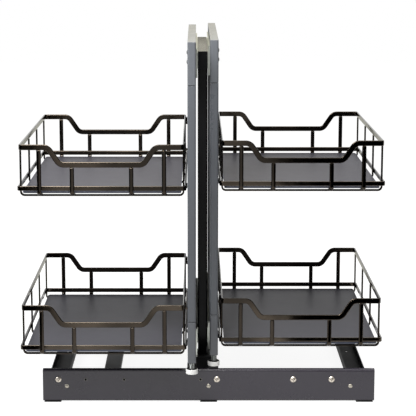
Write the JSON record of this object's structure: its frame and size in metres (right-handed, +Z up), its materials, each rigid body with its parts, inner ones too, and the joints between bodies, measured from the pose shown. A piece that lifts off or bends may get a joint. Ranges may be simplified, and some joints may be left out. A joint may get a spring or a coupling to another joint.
{
  "type": "pull out cabinet basket",
  "caption": "Pull-out cabinet basket unit: side frames on top and bottom ball slides beside a fixed centre frame carry hook-on flat-wire baskets with boards.",
  "frame": {"origin": "bottom centre of the whole unit as drawn, on the cabinet floor, with the left frame 44 mm pulled out", "axes": "+X to the right and +Y to the back for someone who stands in front of the cabinet; +Z up"},
  "size_m": [0.5494, 0.4852, 0.5565],
  "materials": {
    "base_steel": "matte powder coat",
    "guide_plastic": "matte black moulding",
    "bright_steel": "bright nickel plating",
    "rivet_steel": "zinc plating",
    "centre_paint": "satin black coat",
    "frame_paint": "satin anthracite coat",
    "connector_plastic": "satin anthracite",
    "zinc_steel": "zinc plating",
    "glide_plastic": "satin white",
    "black_nickel": "glossy black nickel plating",
    "board_laminate": "matte grey laminate"
  },
  "bodies": {
    "base": {"front_rail": "base_steel", "rear_rail": "base_steel", "left_bar": "base_steel", "centre_bar": "base_steel", "right_bar": "base_steel", "guide_bar": "guide_plastic", "base_screws": "bright_steel", "base_rivets": "rivet_steel", "glide_pads": "guide_plastic", "centre_posts": "centre_paint", "centre_rails": "centre_paint", "centre_feet": "guide_plastic", "left_top_slide_inner": "zinc_steel", "left_bottom_slide_inner": "zinc_steel", "right_top_slide_inner": "zinc_steel", "right_bottom_slide_inner": "zinc_steel"},
    "left_frame": {"left_front_post": "frame_paint", "left_rear_post": "frame_paint", "left_top_rail": "frame_paint", "left_bottom_rail": "frame_paint", "left_corner_connectors": "connector_plastic", "left_hanger_rails": "frame_paint", "left_frame_screws": "frame_paint", "left_top_slide_outer": "zinc_steel", "left_bottom_slide_outer": "zinc_steel"},
    "left_glide": {"left_glide_stud": "zinc_steel", "left_glide_disc": "glide_plastic"},
    "left_middles": {"left_slide_middles": "zinc_steel"},
    "left_inner_cages": {"left_inner_ball_cages": "zinc_steel"},
    "left_outer_cages": {"left_outer_ball_cages": "zinc_steel"},
    "upper_left_basket": {"upper_left_top_rim": "black_nickel", "upper_left_lower_rim": "black_nickel", "upper_left_ribs": "black_nickel", "upper_left_board": "board_laminate"},
    "lower_left_basket": {"lower_left_top_rim": "black_nickel", "lower_left_lower_rim": "black_nickel", "lower_left_ribs": "black_nickel", "lower_left_board": "board_laminate"},
    "right_frame": {"right_front_post": "frame_paint", "right_rear_post": "frame_paint", "right_top_rail": "frame_paint", "right_bottom_rail": "frame_paint", "right_corner_connectors": "connector_plastic", "right_hanger_rails": "frame_paint", "right_frame_screws": "frame_paint", "right_top_slide_outer": "zinc_steel", "right_bottom_slide_outer": "zinc_steel"},
    "right_glide": {"right_glide_stud": "zinc_steel", "right_glide_disc": "glide_plastic"},
    "right_middles": {"right_slide_middles": "zinc_steel"},
    "right_inner_cages": {"right_inner_ball_cages": "zinc_steel"},
    "right_outer_cages": {"right_outer_ball_cages": "zinc_steel"},
    "upper_right_basket": {"upper_right_top_rim": "black_nickel", "upper_right_lower_rim": "black_nickel", "upper_right_ribs": "black_nickel", "upper_right_board": "board_laminate"},
    "lower_right_basket": {"lower_right_top_rim": "black_nickel", "lower_right_lower_rim": "black_nickel", "lower_right_ribs": "black_nickel", "lower_right_board": "board_laminate"}
  },
  "joints": [
    {"name": "left_pull", "type": "slide", "parent": "base", "child": "left_frame", "axis": [0, -1, 0], "range_m": [-0.044, 0.296]},
    {"name": "left_middle_run", "type": "slide", "parent": "base", "child": "left_middles", "axis": [0, -1, 0], "range_m": [-0.022, 0.148]},
    {"name": "left_inner_cage_run", "type": "slide", "parent": "base", "child": "left_inner_cages", "axis": [0, -1, 0], "range_m": [-0.011, 0.074]},
    {"name": "left_outer_cage_run", "type": "slide", "parent": "base", "child": "left_outer_cages", "axis": [0, -1, 0], "range_m": [-0.033, 0.222]},
    {"name": "left_glide_turn", "type": "hinge", "parent": "left_frame", "child": "left_glide", "pos_m": [-0.0168, -0.2316, 0.06], "axis": [0, 0, 1], "continuous": true},
    {"name": "upper_left_lift", "type": "slide", "parent": "left_frame", "child": "upper_left_basket", "axis": [0, 0, 1], "range_m": [0, 0.03]},
    {"name": "lower_left_lift", "type": "slide", "parent": "left_frame", "child": "lower_left_basket", "axis": [0, 0, 1], "range_m": [0, 0.03]},
    {"name": "right_pull", "type": "slide", "parent": "base", "child": "right_frame", "axis": [0, -1, 0], "range_m": [0, 0.34]},
    {"name": "right_middle_run", "type": "slide", "parent": "base", "child": "right_middles", "axis": [0, -1, 0], "range_m": [0, 0.17]},
    {"name": "right_inner_cage_run", "type": "slide", "parent": "base", "child": "right_inner_cages", "axis": [0, -1, 0], "range_m": [0, 0.085]},
    {"name": "right_outer_cage_run", "type": "slide", "parent": "base", "child": "right_outer_cages", "axis": [0, -1, 0], "range_m": [0, 0.255]},
    {"name": "right_glide_turn", "type": "hinge", "parent": "right_frame", "child": "right_glide", "pos_m": [0.0168, -0.1876, 0.06], "axis": [0, 0, 1], "continuous": true},
    {"name": "upper_right_lift", "type": "slide", "parent": "right_frame", "child": "upper_right_basket", "axis": [0, 0, 1], "range_m": [0, 0.03]},
    {"name": "lower_right_lift", "type": "slide", "parent": "right_frame", "child": "lower_right_basket", "axis": [0, 0, 1], "range_m": [0, 0.03]}
  ],
  "couplings": [
    {"joint": "left_middle_run", "follows": "left_pull", "ratio": 0.5},
    {"joint": "left_inner_cage_run", "follows": "left_pull", "ratio": 0.25},
    {"joint": "left_outer_cage_run", "follows": "left_pull", "ratio": 0.75},
    {"joint": "right_middle_run", "follows": "right_pull", "ratio": 0.5},
    {"joint": "right_inner_cage_run", "follows": "right_pull", "ratio": 0.25},
    {"joint": "right_outer_cage_run", "follows": "right_pull", "ratio": 0.75}
  ]
}
